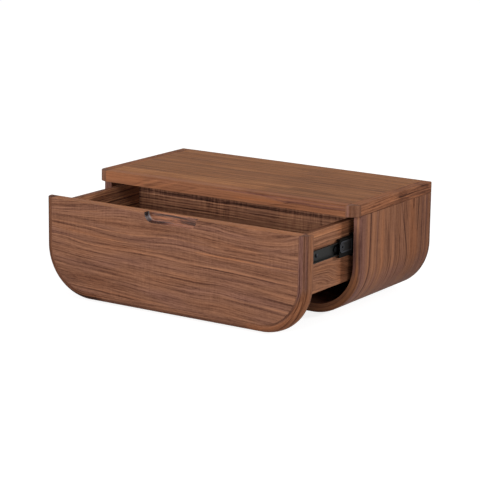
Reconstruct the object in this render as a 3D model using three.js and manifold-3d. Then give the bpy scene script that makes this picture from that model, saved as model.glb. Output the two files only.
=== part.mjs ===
// Wall-hung nightstand with one drawer, in millimetres, +Z up.
// X runs across the front, Y runs from the front to the wall, and the wall plane is y = 0.
// The origin is the centre of the wall cleat's back face, where the nightstand hangs.
// The drawer stands partly open.

import * as THREE from 'three';
import { mergeVertices } from 'three/addons/utils/BufferGeometryUtils.js';
import Module from 'manifold-3d';

const wasm = await Module();
wasm.setup();

// Whole nightstand
const width = 610;
const depth = 305;
const height = 226;
const lowerCornerRadius = 104;
const drawerOpeningShare = 0.69; // of the slides' travel

// Fits and cuts
const fitGap = 0.3;
const cutOverrun = 2;
const screwSides = 12;

// Facets. A quarter arc of an outline is drawn in twice its curveSegments.
const arcSteps = 16;
const roundoverSteps = 6;
const circleSegments = 6;
const cornerSegments = 2;

// Top, a panel lipped in solid wood on its front and sides
const topThickness = 22.5;
const topLippingWidth = 22;

// Case, a bent U-shaped shell behind the drawer front
const caseSetback = 25;
const shellThickness = 17;
const caseLippingDepth = 4;
const backPanelThickness = 6;

// Dowels between the shell and the top
const dowelDiameter = 8;
const dowelLength = 30;
const dowelPlaceShares = [0.16, 0.5, 0.84];

// Cleats that hang the case on the wall
const cleatThickness = 18;
const caseCleatHeight = 65;
const wallCleatHeight = 60;
const wallCleatSideClearance = 38;
const wallScrewHoleDiameter = 5;
const wallScrewSinkDiameter = 10;
const wallScrewPlaceShares = [-0.42, -0.14, 0.14, 0.42];

// Screws through the back panel into the case cleat
const cleatScrew = { length: 20, shank: 3.5, head: 7, tip: 4 };
const cleatScrewDrop = 21;
const cleatScrewPlaceShares = [-0.4, -0.13, 0.13, 0.4];

// Drawer front, a panel inside a lipping that is rounded over on the face
const frontThickness = 24;
const frontTopClearance = 5;
const frontLippingWidth = 18;
const frontRoundover = { width: 17.4, depth: 23 };
const pocketWidth = 121;
const pocketHeight = 19;
const pocketDepth = 14;
const pocketCornerRadius = 18;

// Drawer box
const boardThickness = 12.5;
const boxTopSetback = 6.5;
const boxCornerClearance = 14.5;
const boxBackInset = 5.5;
const bottomThickness = 6;
const bottomGrooveDepth = 5;
const bottomGrooveHeight = 8;

// Screws through the box front into the drawer front
const frontScrew = { length: 24, shank: 3.5, head: 8, headHeight: 2.2, tip: 4 };
const frontScrewPlaceShares = [-0.8, 0.8];
const frontScrewHeightShares = [0.22, 0.78];

// Ball-bearing slides with three telescoping members, one on each side
const slideHeight = 45;
const slideThickness = 12.7;
const slideSetback = 2;
const slideRearClearance = 3.4;
const slideCentreShare = 0.41; // of the wall's height above the lower corner
const sheetThickness = 1.2;
const sheetBend = 1.2;
const memberEndRadius = 5;
const outerRaceGap = 3.3;
const innerRaceGap = 4.8;
const webGap = 1.9;
const flangeSetback = 1.5;
const lipThickness = 0.7;
const lipHeight = 0.6;
const grooveDepth = 0.45;
const grooveSteps = 4;

// Ball cages
const cageThickness = 0.8;
const cageEdge = 0.4;
const cageLengthShare = 0.4; // of the slide's length
const ballCount = 5;
const ballSides = 8;
const ballRings = 4;

// Plastic front stop on each intermediate member
const stopLength = 44;
const stopWidth = 22;
const stopRim = 2.4;
const stopRecess = 0.5;
const stopBossDiameter = 14;
const stopHoleDiameter = 5;
const stopEndRadius = 9;
const stopRise = 3;

// Release lever on each drawer member
const leverPlaceShare = 0.464; // of the slide's length
const leverLength = 60;
const leverWidth = 10;
const leverTailWidth = 6;
const leverThickness = 2.4;
const leverHoleDiameter = 3;

// Slide screws, sunk in the cabinet members and pan-headed in the drawer members
const cabinetScrew = { length: 15, shank: 3.5, head: 7, tip: 4 };
const cabinetScrewPlaceShares = [0.12, 0.5, 0.88];
const drawerScrew = { length: 11.5, shank: 3.5, head: 7.5, headHeight: 2, tip: 3 };
const drawerScrewPlaceShares = [0.22, 0.86];

// Finishes
const finishes = {
  walnutFace: { color: 0x8a5b43, roughness: 0.5, metalness: 0 },
  walnutSolid: { color: 0x7d4f39, roughness: 0.5, metalness: 0 },
  drawerWood: { color: 0x6f5240, roughness: 0.6, metalness: 0 },
  backBoard: { color: 0x5d4232, roughness: 0.7, metalness: 0 },
  cleatWood: { color: 0xa9845d, roughness: 0.8, metalness: 0 },
  blackSteel: { color: 0x1d1e20, roughness: 0.35, metalness: 0.9 },
  blackPlastic: { color: 0x17181a, roughness: 0.5, metalness: 0 },
  cageSteel: { color: 0x8d9094, roughness: 0.3, metalness: 0.9 },
  screwSteel: { color: 0x2a2b2d, roughness: 0.4, metalness: 0.9 },
};

// Places that follow from the sizes
const halfWidth = width / 2;
const topUnderside = height - topThickness;
const shellTop = topUnderside - fitGap;
const caseFront = caseSetback - depth;
const shellFront = caseFront + caseLippingDepth;
const shellInnerHalf = halfWidth - shellThickness;
const backPanelRear = -(cleatThickness + 2 * fitGap);
const backPanelFront = backPanelRear - backPanelThickness;
const cleatMeetingHeight = shellTop - caseCleatHeight;
const wallCleatBottom = cleatMeetingHeight - wallCleatHeight;
const wallCleatMiddle = (wallCleatBottom + cleatMeetingHeight) / 2;
const wallCleatLength = 2 * (shellInnerHalf - wallCleatSideClearance);
const slideFront = caseFront + slideSetback;
const slideLength = backPanelFront - slideRearClearance - slideFront;
const slideCentreHeight = lowerCornerRadius + slideCentreShare * (shellTop - lowerCornerRadius);
const drawerOpening = drawerOpeningShare * slideLength;
const intermediateOpening = drawerOpening - slideLength / 2;
const cageLength = cageLengthShare * slideLength;
const frontFace = -depth;
const frontRear = frontFace + frontThickness;
const frontTop = topUnderside - frontTopClearance;
const sideOuter = shellInnerHalf - slideThickness - 2 * fitGap;
const sideInner = sideOuter - boardThickness;
const boxFront = frontRear + fitGap;
const boxRear = slideFront + slideLength;
const boxTop = frontTop - boxTopSetback;
const boxCornerReach = sideOuter - (halfWidth - lowerCornerRadius);
const shellInnerRadius = lowerCornerRadius - shellThickness;
const boxCornerHeight = lowerCornerRadius - Math.sqrt(shellInnerRadius ** 2 - boxCornerReach ** 2);
const boxBottom = boxCornerHeight + boxCornerClearance;
const boxHeight = boxTop - boxBottom;
const boxFrontInside = boxFront + boardThickness;
const boxBackRear = boxRear - boxBackInset;
const boxBackInside = boxBackRear - boardThickness;
const grooveBottom = boxBottom + bottomGrooveHeight;
const grooveTop = grooveBottom + bottomThickness + 2 * fitGap;

const xAxis = new THREE.Vector3(1, 0, 0);
const yAxis = new THREE.Vector3(0, 1, 0);
const zAxis = new THREE.Vector3(0, 0, 1);

// A closed geometry as a solid that can be cut and joined
function solidOf(geometry) {
  const bare = geometry.clone();
  bare.deleteAttribute('normal');
  bare.deleteAttribute('uv');
  const merged = mergeVertices(bare);
  return new wasm.Manifold(new wasm.Mesh({
    numProp: 3,
    vertProperties: Float32Array.from(merged.attributes.position.array),
    triVerts: Uint32Array.from(merged.index.array),
  }));
}

function geometryOf(solid) {
  const mesh = solid.getMesh();
  const geometry = new THREE.BufferGeometry();
  geometry.setAttribute('position', new THREE.BufferAttribute(mesh.vertProperties, 3));
  geometry.setIndex(new THREE.BufferAttribute(mesh.triVerts, 1));
  geometry.computeVertexNormals();
  return geometry;
}

function cut(geometry, cutters) {
  const solid = cutters.reduce((left, cutter) => left.subtract(solidOf(cutter)), solidOf(geometry));
  return geometryOf(solid);
}

function join(geometries) {
  const [first, ...others] = geometries;
  return geometryOf(others.reduce((whole, other) => whole.add(solidOf(other)), solidOf(first)));
}

function trim(geometry, envelope) {
  return geometryOf(solidOf(geometry).intersect(solidOf(envelope)));
}

function box([x0, x1], [y0, y1], [z0, z1]) {
  const geometry = new THREE.BoxGeometry(x1 - x0, y1 - y0, z1 - z0);
  return geometry.translate((x0 + x1) / 2, (y0 + y1) / 2, (z0 + z1) / 2);
}

// An outline drawn in x and z, extruded from front to back
function prismAlongY(outline, front, back, curveSegments = arcSteps / 2) {
  const geometry = new THREE.ExtrudeGeometry(outline, {
    depth: back - front,
    bevelEnabled: false,
    curveSegments,
  });
  geometry.applyMatrix4(new THREE.Matrix4().makeBasis(xAxis, zAxis, yAxis.clone().negate()));
  return geometry.translate(0, back, 0);
}

// An outline drawn in y and z, extruded from left to right
function prismAlongX(outline, left, right, curveSegments = circleSegments) {
  const geometry = new THREE.ExtrudeGeometry(outline, {
    depth: right - left,
    bevelEnabled: false,
    curveSegments,
  });
  geometry.applyMatrix4(new THREE.Matrix4().makeBasis(yAxis, zAxis, xAxis));
  return geometry.translate(left, 0, 0);
}

// An outline drawn in x and y, extruded upwards
function prismAlongZ(outline, bottom, top) {
  const geometry = new THREE.ExtrudeGeometry(outline, {
    depth: top - bottom,
    bevelEnabled: false,
    curveSegments: roundoverSteps / 2,
  });
  return geometry.translate(0, 0, bottom);
}

function roundedRectangle([x0, x1], [y0, y1], radius) {
  const outline = new THREE.Shape();
  outline.absarc(x0 + radius, y0 + radius, radius, Math.PI, 1.5 * Math.PI);
  outline.absarc(x1 - radius, y0 + radius, radius, 1.5 * Math.PI, 2 * Math.PI);
  outline.absarc(x1 - radius, y1 - radius, radius, 0, 0.5 * Math.PI);
  outline.absarc(x0 + radius, y1 - radius, radius, 0.5 * Math.PI, Math.PI);
  return outline;
}

// The outline of the case and the drawer front: flat on top, with two large lower corners.
// inset is how far it lies inside the nightstand's own outline.
function uOutline(inset, top) {
  const half = halfWidth - inset;
  const radius = lowerCornerRadius - inset;
  const outline = new THREE.Shape();
  outline.moveTo(-half, top);
  outline.lineTo(-half, lowerCornerRadius);
  outline.absarc(lowerCornerRadius - halfWidth, lowerCornerRadius, radius, Math.PI, 1.5 * Math.PI);
  outline.absarc(halfWidth - lowerCornerRadius, lowerCornerRadius, radius, 1.5 * Math.PI, 2 * Math.PI);
  outline.lineTo(half, top);
  return outline;
}

// A band that follows the U, thickness wide
function uBand(inset, thickness, top) {
  const half = halfWidth - inset - thickness;
  const radius = lowerCornerRadius - inset - thickness;
  const outline = uOutline(inset, top);
  outline.lineTo(half, top);
  outline.lineTo(half, lowerCornerRadius);
  outline.absarc(halfWidth - lowerCornerRadius, lowerCornerRadius, radius, 2 * Math.PI, 1.5 * Math.PI, true);
  outline.absarc(lowerCornerRadius - halfWidth, lowerCornerRadius, radius, 1.5 * Math.PI, Math.PI, true);
  outline.lineTo(-half, top);
  return outline;
}

// Stations along the nightstand's outline, each a point and the direction inwards
function uStations(top) {
  const stations = [{ x: -halfWidth, z: top, inX: 1, inZ: 0 }];
  for (const [side, from] of [[-1, Math.PI], [1, 1.5 * Math.PI]]) {
    for (let step = 0; step <= arcSteps; step += 1) {
      const angle = from + (step / arcSteps) * (Math.PI / 2);
      const inX = -Math.cos(angle);
      const inZ = -Math.sin(angle);
      const centre = side * (halfWidth - lowerCornerRadius);
      stations.push({
        x: centre - lowerCornerRadius * inX,
        z: lowerCornerRadius - lowerCornerRadius * inZ,
        inX,
        inZ,
      });
    }
  }
  stations.push({ x: halfWidth, z: top, inX: -1, inZ: 0 });
  return stations;
}

// Sweeps a section along the U. A section point is [distance inwards, y], in order round the section.
function sweepAlongU(section, top) {
  const positions = [];
  const stations = uStations(top);
  for (const station of stations) {
    for (const [inward, y] of section) {
      positions.push(station.x + inward * station.inX, y, station.z + inward * station.inZ);
    }
  }
  const count = section.length;
  const index = [];
  for (let ring = 0; ring + 1 < stations.length; ring += 1) {
    for (let point = 0; point < count; point += 1) {
      const next = (point + 1) % count;
      const a = ring * count + point;
      const b = ring * count + next;
      index.push(a, b + count, b, a, a + count, b + count);
    }
  }
  const outline = section.map(([inward, y]) => new THREE.Vector2(inward, y));
  const lastRing = (stations.length - 1) * count;
  for (const [a, b, c] of THREE.ShapeUtils.triangulateShape(outline, [])) {
    index.push(a, b, c);
    index.push(lastRing + c, lastRing + b, lastRing + a);
  }
  const geometry = new THREE.BufferGeometry();
  geometry.setAttribute('position', new THREE.Float32BufferAttribute(positions, 3));
  geometry.setIndex(index);
  geometry.computeVertexNormals();
  return geometry;
}

// A revolved profile of [radius, height] points, its axis up Y
function revolve(profile) {
  return new THREE.LatheGeometry(profile.map(([radius, level]) => new THREE.Vector2(radius, level)), screwSides);
}

// A countersunk screw, its head's face at the origin and facing +Y
function sunkScrew({ length, shank, head, tip }) {
  const sink = (head - shank) / 2;
  return revolve([[0, -length], [shank / 2, tip - length], [shank / 2, -sink], [head / 2, 0], [0, 0]]);
}

// The hole that a countersunk screw needs
function sunkScrewHole({ length, shank, head, tip }) {
  const sink = (head - shank) / 2;
  return revolve([
    [0, -length - fitGap],
    [shank / 2 + fitGap, tip - length - fitGap],
    [shank / 2 + fitGap, -sink],
    [head / 2 + fitGap, 0],
    [head / 2 + fitGap, cutOverrun],
    [0, cutOverrun],
  ]);
}

// A pan-head screw, the underside of its head at the origin and its head towards +Y
function panScrew({ length, shank, head, headHeight, tip }) {
  return revolve([
    [0, -length],
    [shank / 2, tip - length],
    [shank / 2, 0],
    [head / 2, 0],
    [head / 2, headHeight / 2],
    [shank / 2, headHeight],
    [0, headHeight],
  ]);
}

// The hole that a pan-head screw needs under its head
function panScrewHole({ length, shank, tip }) {
  return revolve([
    [0, -length - fitGap],
    [shank / 2 + fitGap, tip - length - fitGap],
    [shank / 2 + fitGap, cutOverrun],
    [0, cutOverrun],
  ]);
}

const materials = {};
for (const [name, finish] of Object.entries(finishes)) {
  materials[name] = () => new THREE.MeshStandardMaterial(finish);
}

function piece(parent, name, geometry, makeMaterial) {
  const mesh = new THREE.Mesh(geometry, makeMaterial());
  mesh.name = name;
  parent.add(mesh);
  return mesh;
}

const nightstand = new THREE.Group();
nightstand.position.z = -wallCleatMiddle;
const caseGroup = new THREE.Group();
const drawerGroup = new THREE.Group();
drawerGroup.position.y = -drawerOpening;
nightstand.add(caseGroup, drawerGroup);

const sides = [
  { name: 'left', sign: -1 },
  { name: 'right', sign: 1 },
];

// Slide sections. Distances are measured from the case's wall towards the drawer, heights from the
// slide's centre line.
const cabinetLevels = {
  face: 0,
  towards: 1,
  half: slideHeight / 2,
  reach: slideThickness - flangeSetback,
};
const intermediateLevels = {
  face: sheetThickness + webGap,
  towards: 1,
  half: cabinetLevels.half - sheetThickness - outerRaceGap,
  reach: slideThickness - flangeSetback,
};
const drawerLevels = {
  face: slideThickness,
  towards: -1,
  half: intermediateLevels.half - sheetThickness - innerRaceGap,
  reach: intermediateLevels.face + sheetThickness + webGap,
};
const outerRace = {
  distance: (intermediateLevels.face + intermediateLevels.reach) / 2,
  height: cabinetLevels.half - sheetThickness - outerRaceGap / 2,
  radius: outerRaceGap / 2 + grooveDepth,
};
const innerRaceRadius = innerRaceGap / 2 + grooveDepth;
const innerRace = {
  distance: drawerLevels.reach + innerRaceRadius - fitGap,
  height: intermediateLevels.half - sheetThickness - innerRaceGap / 2,
  radius: innerRaceRadius,
};

// The hollow that a race leaves in a flange face, in order of distance
function groove(race, faceHeight) {
  const above = Math.sign(faceHeight - race.height);
  const spread = Math.acos(Math.abs(faceHeight - race.height) / race.radius);
  const points = [];
  for (let step = 0; step <= grooveSteps; step += 1) {
    const angle = spread * ((2 * step) / grooveSteps - 1);
    points.push([
      race.distance + race.radius * Math.sin(angle),
      race.height + above * race.radius * Math.cos(angle),
    ]);
  }
  return points;
}

// A channel's outline from its upper half, which runs from the web's outer face round the flange
// to the web's inner face
function channelOutline(upperHalf) {
  const lowerHalf = upperHalf.map(([distance, level]) => [distance, -level]).reverse();
  const points = [...upperHalf, ...lowerHalf];
  return new THREE.Shape(points.map(([distance, level]) => new THREE.Vector2(-distance, level)));
}

function bend({ face, towards, half }) {
  return [[face, half - sheetBend], [face + towards * sheetBend, half]];
}

function cabinetOutline() {
  const { face, half, reach } = cabinetLevels;
  const inside = half - sheetThickness;
  return channelOutline([
    ...bend(cabinetLevels),
    [reach, half],
    [reach, inside - lipHeight],
    [reach - lipThickness, inside - lipHeight],
    [reach - lipThickness, inside],
    ...groove(outerRace, inside).reverse(),
    [face + sheetThickness, inside],
  ]);
}

function intermediateOutline() {
  const { face, half, reach } = intermediateLevels;
  const inside = half - sheetThickness;
  return channelOutline([
    ...bend(intermediateLevels),
    ...groove(outerRace, half),
    [reach, half],
    [reach, inside - lipHeight],
    [reach - lipThickness, inside - lipHeight],
    [reach - lipThickness, inside],
    ...groove(innerRace, inside).reverse(),
    [face + sheetThickness, inside],
  ]);
}

function drawerMemberOutline() {
  const { face, half, reach } = drawerLevels;
  const inside = half - sheetThickness;
  return channelOutline([
    ...bend(drawerLevels),
    ...groove(innerRace, half).reverse(),
    [reach, half],
    [reach, inside],
    [face - sheetThickness, inside],
  ]);
}

// A slide member, its ends rounded off seen from the side
function member(outline, levels, holes = []) {
  const channel = prismAlongY(outline, slideFront, slideFront + slideLength);
  const envelope = prismAlongX(
    roundedRectangle([slideFront, slideFront + slideLength], [-levels.half, levels.half], memberEndRadius),
    -slideThickness - cutOverrun,
    cutOverrun,
    cornerSegments,
  );
  return cut(trim(channel, envelope), holes);
}

// A cage with its balls, centred on middle
function cage(race, webDistance, middle) {
  const ballRadius = race.radius - fitGap;
  const reach = race.distance + ballRadius + cageEdge;
  const outside = race.height + cageThickness / 2;
  const outline = channelOutline([
    [webDistance, outside],
    [reach, outside],
    [reach, outside - cageThickness],
    [webDistance + cageThickness, outside - cageThickness],
  ]);
  const strip = prismAlongY(outline, middle - cageLength / 2, middle + cageLength / 2);
  const balls = [];
  for (let ball = 0; ball < ballCount; ball += 1) {
    const place = middle + cageLength * ((ball + 0.5) / ballCount - 0.5);
    for (const side of [-1, 1]) {
      const sphere = new THREE.SphereGeometry(ballRadius, ballSides, ballRings);
      balls.push(sphere.translate(-race.distance, place, side * race.height));
    }
  }
  return join([strip, ...balls]);
}

// The front stop, a plastic tongue with a raised rim and a boss round its hole
function frontStop() {
  const front = slideFront - intermediateOpening + fitGap;
  const back = front + stopLength;
  const near = -(sheetThickness + fitGap);
  const far = -(intermediateLevels.face - fitGap);
  const tongue = (inset) => {
    const half = stopWidth / 2 - inset;
    const radius = stopEndRadius - inset;
    const outline = new THREE.Shape();
    outline.absarc(front + stopEndRadius, half - radius, radius, 0.5 * Math.PI, Math.PI);
    outline.absarc(front + stopEndRadius, radius - half, radius, Math.PI, 1.5 * Math.PI);
    outline.lineTo(back - inset, -half);
    outline.lineTo(back - inset, half);
    return outline;
  };
  const disc = (diameter) => {
    const outline = new THREE.Shape();
    outline.absarc(front + stopEndRadius, 0, diameter / 2, 0, 2 * Math.PI);
    return outline;
  };
  const recess = prismAlongX(tongue(stopRim), near - stopRecess, near + cutOverrun);
  const boss = prismAlongX(disc(stopBossDiameter), far + fitGap, near);
  const hole = prismAlongX(disc(stopHoleDiameter), far - cutOverrun, near + cutOverrun);
  const dished = cut(prismAlongX(tongue(0), far, near), [recess]);
  return cut(join([dished, boss]), [hole]).translate(0, 0, stopRise);
}

// The release lever, a tapered arm in the drawer member's channel
function releaseLever() {
  const front = slideFront - drawerOpening + leverPlaceShare * slideLength;
  const back = front + leverLength;
  const near = -(slideThickness - sheetThickness - fitGap - leverThickness);
  const far = near - leverThickness;
  const head = leverWidth / 2;
  const tail = leverTailWidth / 2;
  const outline = new THREE.Shape();
  outline.absarc(front + head, 0, head, 0.5 * Math.PI, 1.5 * Math.PI);
  outline.absarc(back - tail, 0, tail, 1.5 * Math.PI, 2.5 * Math.PI);
  const hole = new THREE.Path();
  hole.absarc(back - leverWidth, 0, leverHoleDiameter / 2, 0, 2 * Math.PI, true);
  outline.holes.push(hole);
  return prismAlongX(outline, far, near);
}

// Places of a slide's screws along Y, from the front end of its member
function alongSlide(shares, opening) {
  return shares.map((share) => slideFront - opening + share * slideLength);
}

// A screw of the cabinet member, its head towards the drawer
function placeCabinetScrew(geometry, place) {
  return geometry.rotateZ(Math.PI / 2).translate(-sheetThickness, place, 0);
}

// A screw of the drawer member, its head towards the case
function placeDrawerScrew(geometry, place) {
  const seat = slideThickness - sheetThickness - fitGap;
  return geometry.rotateZ(-Math.PI / 2).translate(-seat, place, 0);
}

const slideFace = shellInnerHalf - fitGap;

// Moves a geometry from a slide's own frame to the case's. The left slide is the right one turned over.
function fromSlide(geometry, { sign }) {
  if (sign < 0) {
    geometry.rotateY(Math.PI);
  }
  return geometry.translate(sign * slideFace, 0, slideCentreHeight);
}

function addTop() {
  const inner = halfWidth - topLippingWidth;
  const front = topLippingWidth - depth;
  const heights = [topUnderside, height];
  const panel = box([fitGap - inner, inner - fitGap], [front + fitGap, 0], heights);
  piece(caseGroup, 'top_panel', panel, materials.walnutFace);
  const frontStrip = box([-inner, inner], [-depth, front], heights);
  piece(caseGroup, 'top_front_lipping', frontStrip, materials.walnutSolid);
  for (const { name, sign } of sides) {
    const innerEdge = sign * (inner + fitGap);
    const corner = new THREE.Shape();
    const start = 1.5 * Math.PI + sign * Math.asin(fitGap / topLippingWidth);
    const end = sign < 0 ? Math.PI : 2 * Math.PI;
    corner.absarc(sign * inner, front, topLippingWidth, start, end, sign < 0);
    corner.lineTo(innerEdge, front);
    piece(caseGroup, `top_corner_${name}`, prismAlongZ(corner, ...heights), materials.walnutSolid);

    const strip = box(
      [innerEdge, sign * halfWidth].sort((a, b) => a - b),
      [front + fitGap, 0],
      heights,
    );
    const holes = dowelPlaceShares.map((share) => dowel(sign, share, fitGap));
    piece(caseGroup, `top_side_lipping_${name}`, cut(strip, holes), materials.walnutSolid);
  }
}

// A dowel that stands in the shell and in the top, or with a gap its hole
function dowel(sign, share, gap) {
  const geometry = new THREE.CylinderGeometry(
    dowelDiameter / 2 + gap,
    dowelDiameter / 2 + gap,
    dowelLength + 2 * gap,
    screwSides,
  );
  const across = sign * (halfWidth - shellThickness / 2);
  return geometry.rotateX(Math.PI / 2).translate(across, share * caseFront, topUnderside);
}

function addCase() {
  const cutters = [];
  for (const side of sides) {
    for (const share of dowelPlaceShares) {
      cutters.push(dowel(side.sign, share, fitGap));
    }
    for (const place of alongSlide(cabinetScrewPlaceShares, 0)) {
      cutters.push(fromSlide(placeCabinetScrew(sunkScrewHole(cabinetScrew), place), side));
    }
  }
  const shell = prismAlongY(uBand(0, shellThickness, shellTop), shellFront, 0);
  piece(caseGroup, 'case_shell', cut(shell, cutters), materials.walnutFace);

  const lipping = prismAlongY(uBand(0, shellThickness, shellTop), caseFront, shellFront - fitGap);
  piece(caseGroup, 'case_front_lipping', lipping, materials.walnutSolid);

  for (const { name, sign } of sides) {
    dowelPlaceShares.forEach((share, index) => {
      piece(caseGroup, `dowel_${name}_${index + 1}`, dowel(sign, share, 0), materials.cleatWood);
    });
  }
}

function cleatScrewPlaces() {
  return cleatScrewPlaceShares.map((share) => share * 2 * shellInnerHalf);
}

function placeCleatScrew(geometry, place) {
  return geometry.rotateX(Math.PI).translate(place, backPanelFront, shellTop - cleatScrewDrop);
}

function addBack() {
  const panel = prismAlongY(
    uOutline(shellThickness + fitGap, shellTop),
    backPanelFront,
    backPanelRear,
  );
  const holes = cleatScrewPlaces().map((place) => placeCleatScrew(sunkScrewHole(cleatScrew), place));
  piece(caseGroup, 'back_panel', cut(panel, holes), materials.backBoard);

  const caseBevel = cleatMeetingHeight + fitGap * Math.SQRT2;
  const caseCleatFront = -(cleatThickness + fitGap);
  const caseCleat = new THREE.Shape([
    new THREE.Vector2(-fitGap, caseBevel + fitGap),
    new THREE.Vector2(-fitGap, shellTop),
    new THREE.Vector2(caseCleatFront, shellTop),
    new THREE.Vector2(caseCleatFront, caseBevel - caseCleatFront),
  ]);
  const caseCleatHalf = shellInnerHalf - fitGap;
  const caseCleatSolid = cut(prismAlongX(caseCleat, -caseCleatHalf, caseCleatHalf), holes);
  piece(caseGroup, 'case_cleat', caseCleatSolid, materials.cleatWood);

  const wallCleat = new THREE.Shape([
    new THREE.Vector2(0, wallCleatBottom),
    new THREE.Vector2(0, cleatMeetingHeight),
    new THREE.Vector2(-cleatThickness, cleatMeetingHeight + cleatThickness),
    new THREE.Vector2(-cleatThickness, wallCleatBottom),
  ]);
  const wallScrewHoles = wallScrewPlaceShares.map((share) => wallScrewHole(share * wallCleatLength));
  const wallCleatSolid = cut(
    prismAlongX(wallCleat, -wallCleatLength / 2, wallCleatLength / 2),
    wallScrewHoles,
  );
  piece(caseGroup, 'wall_cleat', wallCleatSolid, materials.cleatWood);

  cleatScrewPlaces().forEach((place, index) => {
    const screw = placeCleatScrew(sunkScrew(cleatScrew), place);
    piece(caseGroup, `cleat_screw_${index + 1}`, screw, materials.screwSteel);
  });
}

// A countersunk hole through the wall cleat
function wallScrewHole(place) {
  const hole = wallScrewHoleDiameter / 2;
  const sink = wallScrewSinkDiameter / 2;
  const profile = [
    [0, -cleatThickness - cutOverrun],
    [hole, -cleatThickness - cutOverrun],
    [hole, hole - sink],
    [sink, 0],
    [sink, cutOverrun],
    [0, cutOverrun],
  ];
  return revolve(profile).rotateX(Math.PI).translate(place, -cleatThickness, wallCleatMiddle);
}

function frontScrewPlaces() {
  const places = [];
  for (const heightShare of frontScrewHeightShares) {
    for (const placeShare of frontScrewPlaceShares) {
      places.push([placeShare * sideInner, boxBottom + heightShare * boxHeight]);
    }
  }
  return places;
}

function placeFrontScrew(geometry, [across, level]) {
  return geometry.translate(across, boxFrontInside + fitGap, level);
}

function addDrawerFront() {
  const lippingSection = [[0, frontRear], [0, frontFace + frontRoundover.depth]];
  for (let step = 1; step <= roundoverSteps; step += 1) {
    const angle = (step / roundoverSteps) * (Math.PI / 2);
    lippingSection.push([
      frontRoundover.width * (1 - Math.cos(angle)),
      frontFace + frontRoundover.depth * (1 - Math.sin(angle)),
    ]);
  }
  lippingSection.push([frontLippingWidth, frontFace], [frontLippingWidth, frontRear]);
  const lipping = sweepAlongU(lippingSection, frontTop);
  piece(drawerGroup, 'drawer_front_lipping', lipping, materials.walnutSolid);

  const panel = prismAlongY(uOutline(frontLippingWidth + fitGap, frontTop), frontFace, frontRear);
  const pocketOutline = roundedRectangle(
    [-pocketWidth / 2, pocketWidth / 2],
    [frontTop - pocketHeight, frontTop + pocketHeight],
    pocketCornerRadius,
  );
  const pocket = prismAlongY(
    pocketOutline,
    frontFace - cutOverrun,
    frontFace + pocketDepth,
    roundoverSteps / 2,
  );
  const holes = frontScrewPlaces().map((place) => placeFrontScrew(panScrewHole(frontScrew), place));
  piece(drawerGroup, 'drawer_front_panel', cut(panel, [pocket, ...holes]), materials.walnutFace);

  frontScrewPlaces().forEach((place, index) => {
    const screw = placeFrontScrew(panScrew(frontScrew), place);
    piece(drawerGroup, `front_screw_${index + 1}`, screw, materials.screwSteel);
  });
}

function addDrawerBox() {
  const heights = [boxBottom, boxTop];
  const across = [fitGap - sideInner, sideInner - fitGap];
  const groovedAcross = [-sideInner - bottomGrooveDepth, sideInner + bottomGrooveDepth];
  const groovedDepth = [boxFrontInside - bottomGrooveDepth, boxBackInside + bottomGrooveDepth];
  const bottomSlot = box(groovedAcross, groovedDepth, [grooveBottom, grooveTop]);

  const front = box(across, [boxFront, boxFrontInside], heights);
  const holes = frontScrewPlaces().map((place) => placeFrontScrew(panScrewHole(frontScrew), place));
  piece(drawerGroup, 'drawer_box_front', cut(front, [bottomSlot, ...holes]), materials.drawerWood);

  const back = box(across, [boxBackInside, boxBackRear], heights);
  piece(drawerGroup, 'drawer_box_back', cut(back, [bottomSlot]), materials.drawerWood);

  const sideSlot = box(groovedAcross, [boxFront - cutOverrun, boxRear + cutOverrun], [grooveBottom, grooveTop]);
  for (const side of sides) {
    const edges = [side.sign * sideInner, side.sign * sideOuter].sort((a, b) => a - b);
    const board = box(edges, [boxFront, boxRear], heights);
    const screwHoles = alongSlide(drawerScrewPlaceShares, 0).map((place) => (
      fromSlide(placeDrawerScrew(panScrewHole(drawerScrew), place), side)
    ));
    const solid = cut(board, [sideSlot, ...screwHoles]);
    piece(drawerGroup, `drawer_side_${side.name}`, solid, materials.drawerWood);
  }

  const bottom = box(
    [groovedAcross[0] + fitGap, groovedAcross[1] - fitGap],
    [groovedDepth[0] + fitGap, groovedDepth[1] - fitGap],
    [grooveBottom + fitGap, grooveTop - fitGap],
  );
  piece(drawerGroup, 'drawer_bottom', bottom, materials.drawerWood);
}

// The middle of a cage, half way along the stretch where its two members overlap
function cageMiddle(outerOpening, innerOpening) {
  return slideFront + (slideLength - outerOpening - innerOpening) / 2;
}

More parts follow.
